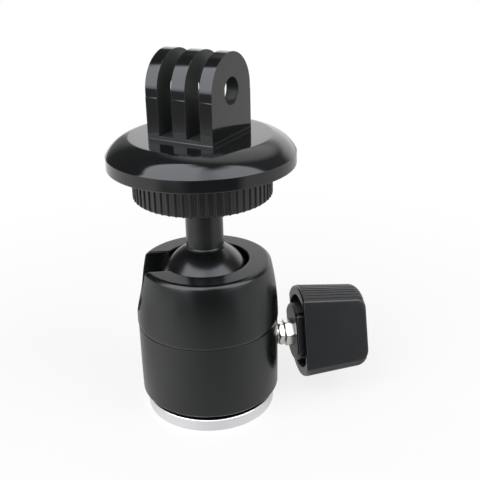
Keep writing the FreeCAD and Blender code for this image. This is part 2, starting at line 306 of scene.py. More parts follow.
def term(operation: str, swapped: bool = False) -> Callable[["Signal", object], "Signal"]:
    """Operator of the Signal class.

    Args:
        operation: Its Math node's operation.
        swapped: Whether it is the reflected form.

    Returns:
        The method.
    """
    def method(self: "Signal", other: object) -> "Signal":
        """Add the Math node."""
        return self.maths(operation, *((other, self) if swapped else (self, other)))
    return method


class Signal:
    """A value on a shader socket that takes part in plain sums."""

    def __init__(self, tree: bpy.types.NodeTree, socket: Socket) -> None:
        """Wrap a socket of a tree."""
        self.tree, self.socket = tree, socket

    def maths(self, operation: str, *terms: object) -> "Signal":
        """Add one Math node.

        Args:
            operation: The node's operation.
            terms: Its inputs, numbers or signals.

        Returns:
            The node's result.
        """
        node = Nodes(self.tree).node("ShaderNodeMath", {"operation": operation}, dict(enumerate(terms)))
        return Signal(self.tree, node.outputs[0])

    __add__, __radd__ = term("ADD"), term("ADD", True)
    __sub__, __rsub__ = term("SUBTRACT"), term("SUBTRACT", True)
    __mul__, __rmul__ = term("MULTIPLY"), term("MULTIPLY", True)
    __gt__, __lt__ = term("GREATER_THAN"), term("LESS_THAN")

    def root(self) -> "Signal":
        """Square root."""
        return self.maths("SQRT", self)

    def size(self) -> "Signal":
        """The value without its sign."""
        return self.maths("ABSOLUTE", self)

    def at_least(self, least: float) -> "Signal":
        """The larger of the value and a number."""
        return self.maths("MAXIMUM", self, least)

    def steps(self, low: float, high: float, first: float = 0.0, last: float = 1.0) -> "Signal":
        """Smooth change from one number to another.

        Args:
            low: Value where the change starts.
            high: Value where it ends.
            first: Result at the start and before it.
            last: Result at the end and after it.

        Returns:
            The result.
        """
        if low > high:
            low, high, first, last = high, low, last, first
        node = Nodes(self.tree).node("ShaderNodeMapRange", {"interpolation_type": "SMOOTHSTEP"}, {
            "Value": self, "From Min": low, "From Max": high, "To Min": first, "To Max": last})
        return Signal(self.tree, node.outputs[0])


class Nodes:
    """A node tree and the way to add a node to it."""

    def __init__(self, tree: bpy.types.NodeTree) -> None:
        """Take a tree as it is."""
        self.tree = tree

    def node(self, kind: str, settings: Optional[Mapping[str, object]] = None,
             inputs: Optional[Inputs] = None) -> bpy.types.Node:
        """Add a node.

        Args:
            kind: The node's type.
            settings: Its settings, which are set first.
            inputs: Values, signals or sockets for its inputs, or a list of sockets for one that takes several.

        Returns:
            The node.
        """
        node = self.tree.nodes.new(kind)
        for name, value in (settings or {}).items():
            setattr(node, name, value)
        for name, value in (inputs or {}).items():
            for item in value if isinstance(value, list) else [value]:
                source = item.socket if isinstance(item, Signal) else item
                if isinstance(source, Socket):
                    self.tree.links.new(source, node.inputs[name])
                else:
                    node.inputs[name].default_value = source
        return node


class RidgeTree:
    """Geometry Nodes tree that repeats a moulded ridge round the Z axis, on the piece that carries it."""

    INPUTS = {"Carrier": "Geometry", "Path": "Object", "Count": "Int", "First Turn": "Float", "Turn Step": "Float",
              "Ridge Width": "Float", "Ridge Depth": "Float", "Edge Round": "Float", "Material": "Material"}

    def __init__(self) -> None:
        """Make the tree once, for the wheel and the knob."""
        self.tree = bpy.data.node_groups.new("moulded_ridges", "GeometryNodeTree")
        for name, kind in self.INPUTS.items():
            self.tree.interface.new_socket(name=name, in_out="INPUT", socket_type="NodeSocket" + kind)
        self.tree.interface.new_socket(name="Piece", in_out="OUTPUT", socket_type="NodeSocketGeometry")
        add = Nodes(self.tree).node
        given = add("NodeGroupInput").outputs
        path = add("GeometryNodeObjectInfo", inputs={"Object": given["Path"]})
        section = add("GeometryNodeCurvePrimitiveQuadrilateral", inputs={
            "Width": given["Ridge Width"], "Height": given["Ridge Depth"]})
        eased = add("GeometryNodeFilletCurve", {"mode": "POLY"}, {
            "Curve": section.outputs[0], "Count": 4, "Radius": given["Edge Round"]})
        ridge = add("GeometryNodeCurveToMesh", inputs={
            "Curve": path.outputs["Geometry"], "Profile Curve": eased.outputs[0], "Fill Caps": True})
        points = add("GeometryNodePoints", inputs={"Count": given["Count"]})
        index = add("GeometryNodeInputIndex")
        steps = add("ShaderNodeMath", {"operation": "MULTIPLY_ADD"}, {
            0: index.outputs[0], 1: given["Turn Step"], 2: given["First Turn"]})
        turn = add("FunctionNodeAxisAngleToRotation", inputs={"Axis": (0, 0, 1), "Angle": steps.outputs[0]})
        ridges = add("GeometryNodeInstanceOnPoints", inputs={
            "Points": points.outputs[0], "Instance": ridge.outputs[0], "Rotation": turn.outputs[0]})
        both = add("GeometryNodeJoinGeometry", inputs={0: [given["Carrier"], ridges.outputs[0]]})
        real = add("GeometryNodeRealizeInstances", inputs={"Geometry": both.outputs[0]})
        dressed = add("GeometryNodeSetMaterial", inputs={"Geometry": real.outputs[0], "Material": given["Material"]})
        add("NodeGroupOutput", inputs={"Piece": dressed.outputs[0]})

    def ridged(self, piece: Object, path: Sequence[Point3], count: int, first: float, step: float,
               section: Point3, material: Material) -> Object:
        """Set ridges on a piece and make the result a plain mesh.

        Args:
            piece: The piece, drawn about the Z axis.
            path: The first ridge's line in the XZ plane.
            count: Number of ridges.
            first: Turn of the first one, in degrees.
            step: Turn from one to the next, in degrees.
            section: A ridge's width, its height, half of it inside the piece, and the radius of its edges.
            material: Material of the piece and its ridges.

        Returns:
            The same piece.
        """
        data = bpy.data.curves.new(piece.name + "_path", "CURVE")
        data.dimensions = "3D"
        spline = data.splines.new("POLY")
        spline.points.add(len(path) - 1)
        for slot, point in zip(spline.points, path):
            slot.co = (*(Vector(point) * MM), 1)
        line = linked(data.name, data)
        ridges = piece.modifiers.new("ridges", "NODES")
        ridges.node_group = self.tree
        width, depth, rounding = (size * MM for size in section)
        values = {"Path": line, "Count": count, "First Turn": math.radians(first), "Turn Step": math.radians(step),
                  "Ridge Width": width, "Ridge Depth": depth, "Edge Round": rounding, "Material": material}
        for item in self.tree.interface.items_tree:
            if item.in_out == "INPUT" and item.name in values:
                ridges[item.identifier] = values[item.name]
        settled(piece)
        bpy.data.objects.remove(line)
        return shaded(piece)


# Finishes


class Recipe(Nodes):
    """The nodes of one material or of the world, on Object coordinates."""

    def __init__(self, tree: bpy.types.NodeTree) -> None:
        """Start with an empty tree."""
        super().__init__(tree)
        tree.nodes.clear()

    def signal(self, node: bpy.types.Node, output: Union[str, int] = 0) -> Signal:
        """One output of a node, for sums."""
        return Signal(self.tree, node.outputs[output])

    def place(self, stretch: Point3 = (1.0, 1.0, 1.0)) -> Socket:
        """Object coordinates, stretched by a Mapping node."""
        source = self.node("ShaderNodeTexCoord").outputs["Object"]
        return self.node("ShaderNodeMapping", {"vector_type": "POINT"}, {
            "Vector": source, "Scale": stretch}).outputs[0]

    def axes(self, vector: Socket) -> list[Signal]:
        """The three parts of a vector."""
        split = self.node("ShaderNodeSeparateXYZ", inputs={0: vector})
        return [self.signal(split, index) for index in range(3)]

    def along(self, vector: Socket, axis: Union[Point3, Vector]) -> Signal:
        """How far a vector reaches along an axis."""
        product = self.node("ShaderNodeVectorMath", {"operation": "DOT_PRODUCT"}, {0: vector, 1: axis})
        return self.signal(product, "Value")

    def noise(self, size: float, detail: float = 2.0, vector: Optional[Socket] = None) -> Signal:
        """Noise about 0.5.

        Args:
            size: Size of a grain, in millimetres.
            detail: Number of finer layers.
            vector: Where it is read, if not at the place itself.

        Returns:
            The noise.
        """
        return self.signal(self.node("ShaderNodeTexNoise", inputs={
            "Vector": self.place() if vector is None else vector, "Scale": 1 / (size * MM), "Detail": detail}))

    def specks(self, spacing: float, share: float, size: float) -> Signal:
        """Lone round specks.

        Args:
            spacing: Mean distance between places for a speck, in millimetres.
            share: Share of the places that have one.
            size: Radius of a speck, as a share of the spacing.

        Returns:
            One inside a speck, else nought.
        """
        cells = self.node("ShaderNodeTexVoronoi", {"feature": "F1"}, {
            "Vector": self.place(), "Scale": 1 / (spacing * MM)})
        chance = self.signal(self.node("ShaderNodeSeparateColor", inputs={"Color": cells.outputs["Color"]}))
        return (self.signal(cells, "Distance") < size) * (chance < share)

    def mixed(self, share: Signal, first: Union[Colour, Socket],
              second: Colour) -> Socket:
        """Mix of a colour or a socket with another colour, by a signal."""
        start = (*first, 1.0) if isinstance(first, tuple) else first
        return self.node("ShaderNodeMix", {"data_type": "RGBA"}, {
            0: share, 6: start, 7: (*second, 1.0)}).outputs[2]

    def rays(self) -> list[Signal]:
        """Whether a ray comes from the camera, from gloss or through something clear."""
        path = self.node("ShaderNodeLightPath")
        return [self.signal(path, f"Is {kind} Ray") for kind in ("Camera", "Glossy", "Transmission")]

    def surface(self, inputs: Inputs, height: Signal, strength: float, distance: float) -> None:
        """Finish a material with a Principled shader.

        Args:
            inputs: The shader's inputs.
            height: Relief for its Normal.
            strength: Strength of the relief.
            distance: Depth of the relief, in millimetres.
        """
        bump = self.node("ShaderNodeBump", inputs={"Strength": strength, "Distance": distance * MM, "Height": height})
        shader = self.node("ShaderNodeBsdfPrincipled", inputs={**inputs, "Normal": bump.outputs[0]})
        self.node("ShaderNodeOutputMaterial", inputs={"Surface": shader.outputs[0]})


def new_recipe(name: str) -> tuple[Material, Recipe]:
    """A new material and the recipe of its nodes."""
    material = bpy.data.materials.new(name)
    material.use_nodes = True
    return material, Recipe(material.node_tree)


@dataclass(frozen=True)
class Hollow:
    """Room inside the knob, along X: its reach to front and back, radius, start, end, axis height and lean."""

    reach: Point2
    radius: float
    start: float
    end: float
    axis_height: float
    lean: float
    colour: Colour
    extra_roughness: float = 0.12

    def share(self, recipe: Recipe) -> Signal:
        """Where the hollow is.

        Args:
            recipe: The material's nodes.

        Returns:
            One inside the hollow, else nought.
        """
        along, side, height = recipe.axes(recipe.place())
        up = height - self.axis_height * MM
        deep = math.cos(math.radians(self.lean)) * side + math.sin(math.radians(self.lean)) * up
        return ((deep > self.reach[0] * MM) * (deep < self.reach[1] * MM)
                * (side * side + up * up < (self.radius * MM) ** 2)
                * (along > self.start * MM) * (along < self.end * MM))


@dataclass(frozen=True)
class SatinCoat:
    """Satin black coat on metal or moulded plastic, with a fine grain and a few specks of dust."""

    name: str
    colour: Colour
    dust: Colour
    roughness: float
    grain: float
    relief: float
    speck_share: float
    hollow: Optional[Hollow] = None

    def material(self) -> Material:
        """Make the material."""
        made, recipe = new_recipe(self.name)
        cloud, grain = recipe.noise(9.0), recipe.noise(self.grain, 3.0)
        specks = recipe.specks(2.4, self.speck_share, 0.045)
        base = recipe.mixed(cloud, self.colour, tuple(1.35 * value for value in self.colour))
        base = recipe.mixed(specks, base, self.dust)
        rough = self.roughness - 0.05 + 0.06 * cloud + 0.04 * grain + 0.2 * specks
        if self.hollow is not None:
            inside = self.hollow.share(recipe)
            base = recipe.mixed(inside, base, self.hollow.colour)
            rough = rough + self.hollow.extra_roughness * inside
        recipe.surface({"Base Color": base, "Roughness": rough}, grain + 1.5 * specks, 0.35, self.relief)
        return made


@dataclass(frozen=True)
class GlossMoulding:
    """Glossy black moulded plastic with faint wipe marks and dust.

    The slots between its prongs, their foot and the cross bore are duller, that is rougher. The slots and the bore
    also get a lighter base colour, which is painted light standing in for the soft light on their walls.
    """

    name: str
    colour: Colour
    dust: Colour
    roughness: float
    painted_light_colour: Colour
    across: Point3
    slot_reach: Point2
    slot_floor: float
    foot: float
    pivot: float
    bore: float

    def material(self) -> Material:
        """Make the material."""
        made, recipe = new_recipe(self.name)
        cloud, wipe = recipe.noise(7.0), recipe.noise(1.1, 3.0, recipe.place((1.0, 0.12, 0.5)))
        specks = recipe.specks(1.9, 0.035, 0.05)
        place = recipe.place()
        aside = recipe.along(place, self.across).size()
        lengthways = recipe.along(place, (-self.across[1], self.across[0], 0.0))
        height = recipe.axes(place)[2]
        lift = height - self.pivot * MM
        slot = ((aside > self.slot_reach[0] * MM) * (aside < self.slot_reach[1] * MM)
                * (height > self.slot_floor * MM))
        foot = (height > self.foot * MM) * (height < self.slot_floor * MM)
        bore = lengthways * lengthways + lift * lift < (self.bore * MM) ** 2
        dull = 1 - (1 - slot) * (1 - foot) * (1 - bore)
        # Painted light: the slots and the bore get a lighter base colour for the soft light on their walls. Their
        # extra roughness is the moulding's own.
        base = recipe.mixed(slot + bore * (1 - slot), recipe.mixed(specks, self.colour, self.dust), self.painted_light_colour)
        rough = self.roughness + 0.03 * cloud * wipe + 0.25 * specks + 0.25 * dull
        recipe.surface({"Base Color": base, "Roughness": rough}, cloud + 0.1 * wipe, 0.25, 0.02)
        return made


class Cutting(Enum):
    """Which way the marks of the tool run."""

    ROUND_Z = "round_z"
    ROUND_X = "round_x"
    CAST = "cast"


@dataclass(frozen=True)
class CutMetal:
    """Bright metal with the fine marks of turning, or a plain cast skin. Above a height it can be painted near black,
    a painted shade for the shadowed groove between the base ring and the housing.
    """

    name: str
    colour: Colour
    shade: Colour
    roughness: float
    marks: float
    cutting: Cutting
    axis_height: float = 0.0
    painted_shade_above: Optional[float] = None

    def material(self) -> Material:
        """Make the material."""
        made, recipe = new_recipe(self.name)
        cloud = recipe.noise(3.0)
        across, side, height = recipe.axes(recipe.place())
        if self.cutting is Cutting.CAST:
            lines = recipe.noise(0.3, 3.0)
        else:
            along, off = height, across
            if self.cutting is Cutting.ROUND_X:
                along, off = across, height - self.axis_height * MM
            where = recipe.node("ShaderNodeCombineXYZ", inputs={0: along, 1: (off * off + side * side).root()})
            lines = recipe.noise(self.marks, 2.0, where.outputs[0])
        base = recipe.mixed(0.5 * cloud + 0.5 * lines, self.shade, self.colour)
        # Painted shade: above this height the base colour is near black, standing in for the shadow in the groove
        # under the housing.
        if self.painted_shade_above is not None:
            base = recipe.mixed(height > self.painted_shade_above * MM, base, (0.012, 0.012, 0.012))
        rough = self.roughness - 0.06 + 0.12 * lines + 0.04 * cloud
        recipe.surface({"Base Color": base, "Roughness": rough, "Metallic": 1.0}, lines, 0.2, 0.006)
        return made


@dataclass(frozen=True)
class SoftFace:
    """Rubber or nylon: matt, finely grained, one colour."""

    name: str
    colour: Colour
    shade: Colour
    roughness: float
    grain: float

    def material(self) -> Material:
        """Make the material."""
        made, recipe = new_recipe(self.name)
        grain = recipe.noise(self.grain, 3.0)
        base = recipe.mixed(recipe.noise(4.0), self.colour, self.shade)
        recipe.surface({"Base Color": base, "Roughness": self.roughness + 0.08 * grain}, grain, 0.3, 0.02)
        return made


def make_finishes() -> Finishes:
    """Make the materials of all finishes.

    Returns:
        The materials by their names.
    """
    hollow = Hollow((-4.2, 5.6), 8.36, 19.0, 26.1, 14.2, -17.5, (0.045, 0.047, 0.047))
    finishes = (
        SatinCoat("housing_black", (0.0035, 0.0042, 0.0041), (0.25, 0.25, 0.24), 0.235, 0.14, 0.006, 0.012),
        SatinCoat("ball_black", (0.0050, 0.0054, 0.0055), (0.2, 0.2, 0.2), 0.235, 0.2, 0.005, 0.01),
        # base_silver is painted near black above 2.76 mm: painted shade in the groove under the housing.
        CutMetal("base_silver", (0.88, 0.88, 0.89), (0.74, 0.74, 0.75), 0.32, 0.16, Cutting.ROUND_Z, painted_shade_above=2.76),
        CutMetal("bright_nickel", (0.70, 0.685, 0.65), (0.56, 0.54, 0.50), 0.2, 0.12, Cutting.ROUND_X, 14.2),
        CutMetal("thread_steel", (0.62, 0.61, 0.60), (0.50, 0.49, 0.47), 0.28, 0.12, Cutting.ROUND_Z),
        CutMetal("machined_brass", (0.80, 0.60, 0.27), (0.66, 0.47, 0.20), 0.3, 0.1, Cutting.CAST),
        SoftFace("seat_nylon", (0.72, 0.71, 0.67), (0.66, 0.65, 0.60), 0.5, 0.5),
        SatinCoat("wheel_plastic", (0.0118, 0.0118, 0.0120), (0.22, 0.22, 0.22), 0.31, 0.16, 0.012, 0.02),
        SoftFace("pad_rubber", (0.012, 0.012, 0.012), (0.02, 0.02, 0.02), 0.75, 0.25),
        # The adapter's fourth colour is painted light for its slots and cross bore.
        GlossMoulding("adapter_gloss", (0.0080, 0.0085, 0.0092), (0.2, 0.2, 0.2), 0.085, (0.028, 0.030, 0.030),
                      (0.7705, -0.6374, 0.0), (1.5, 4.8), 62.80, 62.2, 71.32, 2.76),
        SatinCoat("knob_plastic", (0.0046, 0.0050, 0.0056), (0.3, 0.3, 0.3), 0.25, 0.16, 0.010, 0.016, hollow))
    return {finish.name: finish.material() for finish in finishes}


# Pieces and sub-assemblies


@dataclass(frozen=True)
class Piece:
    """A finished mesh with the body it rides on, the nodes it stands for and its slot."""

    shape: Object
    body: str
    nodes: tuple[str, ...]
    slot: str

    def dress(self, material: Material) -> "Piece":
        """Give the piece its material.

        Args:
            material: The material.

        Returns:
            The piece.
        """
        self.shape.data.materials.clear()
        self.shape.data.materials.append(material)
        return self

    def join_frame(self) -> None:
        """Tell the frame where the piece belongs."""
        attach(self.shape, self.body)
        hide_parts(*self.nodes)
        log.info("%s rides on %s with %d faces", self.shape.name, self.body, len(self.shape.data.polygons))


def thread_rings(build: Build, radius: float, depth: float, pitch: float, low: float, high: float) -> list[Ring]:
    """Rings of a helical thread.

    Args:
        build: The mesh that gets them.
        radius: Radius of the crests of an outside thread, or of the roots of an inside one.
        depth: How far the thread goes in from that radius. A negative depth goes outwards.
        pitch: The thread's pitch.
        low: Height of its start.
        high: Height of its end.

    Returns:
        The rings from low to high.
    """
    segments, rings_per_turn, run_out = 72, 12, 0.6 * pitch
    count = max(2, round((high - low) / pitch * rings_per_turn))
    rings = []
    for index in range(count + 1):
        height = low + (high - low) * index / count
        ease = min(1.0, (height - low) / run_out, (high - height) / run_out)
        phases = [(height / pitch - step / segments) % 1.0 for step in range(segments)]
        falls = [min(1.0, 1.25 * abs(2 * phase - 1)) * ease for phase in phases]
        rings.append(build.ring((*polar(radius - depth * fall, 360 * step / segments), height)
                                for step, fall in enumerate(falls)))
    return rings


@dataclass
class ShellSizes:
    """Sizes of the two housing shells and the base ring, in millimetres."""

    radius: float = 15.45
    lower_radius: float = 15.31
    lower_foot_radius: float = 14.60
    foot_height: float = 3.9
    foot_bevel_height: float = 4.5
    seam_height: float = 20.6
    seam_gap: float = 0.13
    seam_depth: float = 0.5
    seam_fall: tuple[Point2, ...] = ((-0.30, 0.0), (-0.17, 0.04), (-0.11, 0.16), (-0.05, 0.34), (-0.01, 0.52),
                                     (0.012, 0.7), (0.012, 0.86), (0.0, 1.1))
    bore_radius: float = 10.08
    skirt_radius: float = 12.695
    skirt_depth: float = 3.2
    skirt_gap: float = 0.05
    plug_thread_radius: float = 12.64
    plug_top: float = 8.5
    ball_height: float = 28.3
    shoulder_height: float = 22.0
    lip_radius: float = 14.1
    lip_height: float = 34.47
    lip_round: float = 1.05
    lip_lean: float = 14.5
    shoulder_pull: float = 0.375
    opening_radius: float = 9.24
    opening_round: float = 0.3
    notch_half_width: float = 5.1
    notch_edge: float = 0.28
    notch_direction: float = 175.0
    notch_chords: int = 12
    clamp_height: float = 14.2
    screw_hole_radius: float = 2.53
    ring_radius: float = 14.18
    ring_top: float = 2.8
    groove_radius: float = 13.37
    insert_hole_radius: float = 5.02
    spanner_radius: float = 1.1
    spanner_share: float = 0.66


@dataclass(frozen=True)
class Station:
    """A point of the shell's outline, its inward normal and the notch's swing there."""

    radius: float
    height: float
    inward: Point2
    swing: Optional[float]


@dataclass
class Housing:
    """Lower and upper shell and the bright base ring."""

    finishes: Finishes
    sizes: ShellSizes = field(default_factory=ShellSizes)
    segments: int = 176

    def lower_shell(self) -> Object:
        """Lower shell with the clamp screw's hole."""
        s = self.sizes
        skirt, thread = s.skirt_radius + s.skirt_gap, s.plug_thread_radius + s.skirt_gap
        seam, step = s.seam_height - s.seam_gap, s.seam_height - 0.01
        start = Corner(thread, s.foot_height)
        shell = turned("lower_shell", rounded([
            start, Corner(s.lower_foot_radius, s.foot_height, 0.2),
            Corner(s.lower_radius - 0.06, s.foot_bevel_height, 0.5), Corner(s.lower_radius, 10.5),
            Corner(s.lower_radius, 17.9), Corner(s.lower_radius, seam, 0.04),
            Corner(s.lower_radius - s.seam_depth, seam), Corner(s.lower_radius - s.seam_depth, step),
            Corner(skirt, step), Corner(skirt, s.seam_height - s.skirt_depth),
            Corner(s.bore_radius, s.seam_height - s.skirt_depth), Corner(s.bore_radius, s.plug_top),
            Corner(thread, s.plug_top), start]), self.segments)
        axis = Matrix.Translation((0, 0, s.clamp_height)) @ Matrix.Rotation(math.pi / 2, 4, "Y")
        hole = s.screw_hole_radius
        tool = turned("hole_tool", [(0, 5), (hole, 5), (hole, s.lower_radius - 0.25), (hole + 0.3, s.lower_radius),
                                    (hole + 0.6, 18), (0, 18)], 64, axis)
        return weighed(combined(shell, tool, Cut.AWAY))

    def outline(self) -> list[tuple[float, float, Optional[float]]]:
        """Upper shell's outline from the skirt's foot up the outside and back down the bore.

        Returns:
            Radius, height and, on the notch's round part, the angle from its lowest point.
        """
        s = self.sizes
        reach = s.notch_half_width + s.notch_edge
        lip_foot = s.lip_height - s.lip_round * (1 - math.sin(math.radians(s.lip_lean)))

        def side(height: float) -> float:
            """Radius of the outside at a height."""
            share = max(0.0, (height - s.shoulder_height) / (lip_foot - s.shoulder_height))
            chord = s.lip_radius - s.radius
            return s.radius + chord * share + 4 * share * (1 - share) * (abs(chord) / 2 - s.shoulder_pull)

        def inside(height: float) -> float:
            """Radius of the bore and the hollow over the ball at a height."""
            return math.sqrt(s.bore_radius ** 2 - max(0.0, height - s.ball_height) ** 2)

        swings = [90 * step / s.notch_chords for step in range(s.notch_chords + 1)]
        lifts = [s.ball_height - polar(reach, swing)[0] for swing in swings]
        skirt_foot = s.seam_height - s.skirt_depth
        points: list[tuple[float, float, Optional[float]]] = [
            (s.bore_radius, skirt_foot, None), (s.skirt_radius, skirt_foot, None),
            (s.skirt_radius, s.seam_height, None)]
        points += [(s.radius + out, s.seam_height + up, None) for out, up in s.seam_fall]
        points += [(side(h), h, None) for h in (s.shoulder_height, s.shoulder_height + 0.45)]
        points += [(side(h), h, swing) for h, swing in zip(lifts, swings)]
        spread = [s.ball_height + (lip_foot - s.ball_height) * step / 8 for step in range(1, 9)]
        points += [(side(h), h, 90.0) for h in spread]
        lip_middle = (s.lip_radius - polar(s.lip_round, s.lip_lean)[0], s.lip_height - s.lip_round)
        opening_middle = (s.opening_radius + s.opening_round, s.lip_height - s.opening_round)
        curve = arc_points(lip_middle, s.lip_round, s.lip_lean, 90, 14)[1:]
        curve += arc_points(opening_middle, s.opening_round, 90, 180, 5)
        points += [(r, h, 90.0) for r, h in curve]
        brow = s.ball_height + math.sqrt(s.bore_radius ** 2 - s.opening_radius ** 2)
        falls = [brow + (s.ball_height - brow) * step / 7 for step in range(8)]
        points += [(inside(h), h, 90.0) for h in falls]
        points += [(inside(h), h, swing) for h, swing in list(zip(lifts, swings))[-2::-1]]
        return points

    def stations(self) -> list[Station]:
        """The outline's points with their inward normals.

        Returns:
            One station for each point.
        """
        points = self.outline()
        made = []
        for index, (radius, height, swing) in enumerate(points):
            here = Vector((radius, height))
            before, after = Vector(points[index - 1][:2]), Vector(points[(index + 1) % len(points)][:2])
            total = Vector((0, 0))
            for run in (here - before, after - here):
                if run.length > 1e-6:
                    total += Vector((-run.y, run.x)).normalized()
            middle = total.normalized()
            made.append(Station(radius, height, (middle.x, middle.y), swing))
        return made

    def upper_shell(self) -> Object:
        """Upper shell with the drop notch, whose edges are rounded."""
        s = self.sizes
        build = Build()
        steps = 5

        def notch(station: Station, reach: float) -> Point2:
            """Half width and height of the notch's wall at a station.

            Args:
                station: The station.
                reach: The notch's own radius there.

            Returns:
                Half width and height.
            """
            if station.swing is None or station.swing >= 90.0:
                return (0.0 if station.swing is None else reach), station.height
            fall, half = polar(reach, station.swing)
            return half, s.ball_height - fall

        walls: dict[int, list[Ring]] = {1: [], -1: []}
        rows = []
        for station in self.stations():
            half, _ = notch(station, s.notch_half_width + s.notch_edge)
            lean = math.degrees(math.asin(min(1.0, half / station.radius)))
            rows.append(build.ring((x, y, station.height) for x, y in arc_points(
                (0, 0), station.radius, lean, 360 - lean, self.segments)))
            if station.swing is None:
                continue
            for side in (1, -1):
                chain = [rows[-1][0 if side == 1 else -1]]
                for step in range(1, steps + 1):
                    out, along = polar(1.0, 90 * step / steps)
                    depth = s.notch_edge * (1 - out)
                    half, height = notch(station, s.notch_half_width + s.notch_edge * (1 - along))
                    across = math.sqrt(max(0.0, station.radius ** 2 - half ** 2))
                    chain += build.ring([(across + station.inward[0] * depth, side * half,
                                          height + station.inward[1] * depth)])
                walls[side].append(chain)
        for first, second in zip(rows, rows[1:] + rows[:1]):
            build.bridge(first, second, closed=False)
        for chains in walls.values():
            for first, second in zip(chains, chains[1:]):
                build.bridge(first, second, closed=False)
            ends = [chain[-1] for chain in chains]
            for index in range(s.notch_chords):
                build.mesh.faces.new([ends[index], ends[index + 1], ends[-2 - index], ends[-1 - index]])
            build.mesh.faces.new(ends[s.notch_chords:len(ends) - s.notch_chords])
        return weighed(build.piece("upper_shell", Matrix.Rotation(math.radians(s.notch_direction), 4, "Z")))

    def base_ring(self) -> Object:
        """Bright base ring, groove and plug in one turned piece, with its two spanner holes."""
        s = self.sizes
        inner, outer, top, sharp = s.insert_hole_radius, s.ring_radius, s.ring_top, 24.0
        ring = turned("base_ring", rounded([
            Corner(inner, 4.0), Corner(inner, 0, 0.12), Corner(outer - 0.2, 0, 0.15), Corner(outer, 0.2, 0.1),
            Corner(outer, top - 0.14, 0.06), Corner(outer - 0.14, top, 0.06), Corner(s.groove_radius, top, 0.05),
            Corner(s.groove_radius, 3.9), Corner(s.plug_thread_radius, 3.9), Corner(s.plug_thread_radius, s.plug_top),
            Corner(inner, s.plug_top), Corner(inner, 4.0)]), self.segments, sharp=sharp)
        hole = s.spanner_radius
        drill = [(0, -1), (hole + 0.15, -1), (hole + 0.15, 0), (hole, 0.15), (hole, 1.5), (0, 1.5)]
        for side in (-1, 1):
            place = Matrix.Translation((0, side * outer * s.spanner_share, 0))
            ring = combined(ring, turned("spanner_tool", drill, 40, place), Cut.AWAY)
        return weighed(shaded(ring, sharp))

    def thread_insert(self) -> Object:
        """Steel insert with the tripod screw's helical thread."""
        build = Build()
        outside = ((0, 8.5), (5.0, 8.5), (5.0, 0.15), (4.85, 0.0), (3.5, 0.0))
        rings = [build.circle(*point) for point in outside] + thread_rings(build, 3.2, 0.45, 1.27, 0.3, 7.1)
        build.loft(rings + [build.circle(3.2, 7.5), build.circle(0, 7.5)])
        return weighed(build.piece("thread_insert"))

    def pieces(self) -> list[Piece]:
        """Build the housing's pieces."""
        f, coat = self.finishes, self.finishes["housing_black"]
        return [
            Piece(self.lower_shell(), "housing", ("lower_housing",), "housing_black").dress(coat),
            Piece(self.upper_shell(), "housing", ("upper_housing",), "housing_black").dress(coat),
            Piece(self.base_ring(), "housing", ("base_plug",), "base_silver").dress(f["base_silver"]),
            Piece(self.thread_insert(), "housing", ("base_insert",), "bright_steel").dress(f["thread_steel"])]


@dataclass
class PostSizes:
    """Sizes of the ball and its post, in millimetres."""

    ball_radius: float = 10.0
    ball_height: float = 28.3
    foot_radius: float = 4.1
    collar: float = 0.04
    collar_height: float = 0.42
    top_radius: float = 3.95
    length: float = 13.28
    hole_radius: float = 3.2
    hole_depth: float = 7.4

    @property
    def foot_height(self) -> float:
        """Height of the flat that the post stands on."""
        return self.ball_height + math.sqrt(self.ball_radius ** 2 - self.foot_radius ** 2)


@dataclass
class BallPost:
    """Ball and post."""

    finishes: Finishes
    sizes: PostSizes = field(default_factory=PostSizes)

    def ball(self) -> Object:
        """Ball with its flat and the stud's hole."""
        s = self.sizes
        top = math.degrees(math.acos(s.foot_radius / s.ball_radius))
        around = arc_points((0, s.ball_height), s.ball_radius, -90, top - 1.0, 60)
        hole_floor = s.foot_height - s.hole_depth
        return weighed(turned("post_ball", [(0.0, s.ball_height - s.ball_radius)] + around[1:] + [
            (s.foot_radius - 0.1, s.foot_height), (s.hole_radius, s.foot_height), (s.hole_radius, hole_floor),
            (0.0, hole_floor)], 144))

    def post(self) -> Object:
        """Post, slightly wider at its foot, with a fine step there."""
        s = self.sizes
        top, foot, collar = s.foot_height + s.length, s.foot_height, s.foot_radius + s.collar
        start = Corner(s.hole_radius, foot)
        return weighed(turned("post", rounded([
            start, Corner(collar, foot, 0.05), Corner(collar, foot + s.collar_height, 0.05),
            Corner(s.foot_radius - 0.1, foot + s.collar_height + 0.18, 0.05), Corner(s.top_radius, top, 0.2),
            Corner(s.hole_radius, top), start]), 128))

    def pieces(self) -> list[Piece]:
        """Build the ball's pieces."""
        coat = self.finishes["ball_black"]
        return [Piece(self.ball(), "ball", ("ball",), "ball_black").dress(coat),
                Piece(self.post(), "ball", ("stem",), "ball_black").dress(coat)]


@dataclass
class WheelSizes:
    """Sizes of the locking wheel and its pad, in millimetres."""

    radius: float = 14.56
    rib_depth: float = 0.32
    rib_count: int = 57
    rib_share: float = 0.40
    rib_round: float = 0.3
    bottom: float = 49.18
    recess_top: float = 52.18
    top: float = 55.2
    edge_round: float = 0.35
    recess_radius: float = 4.4
    insert_radius: float = 5.51
    pad_radius: float = 13.5
    pad_top: float = 55.87
    stud_gap: float = 3.475


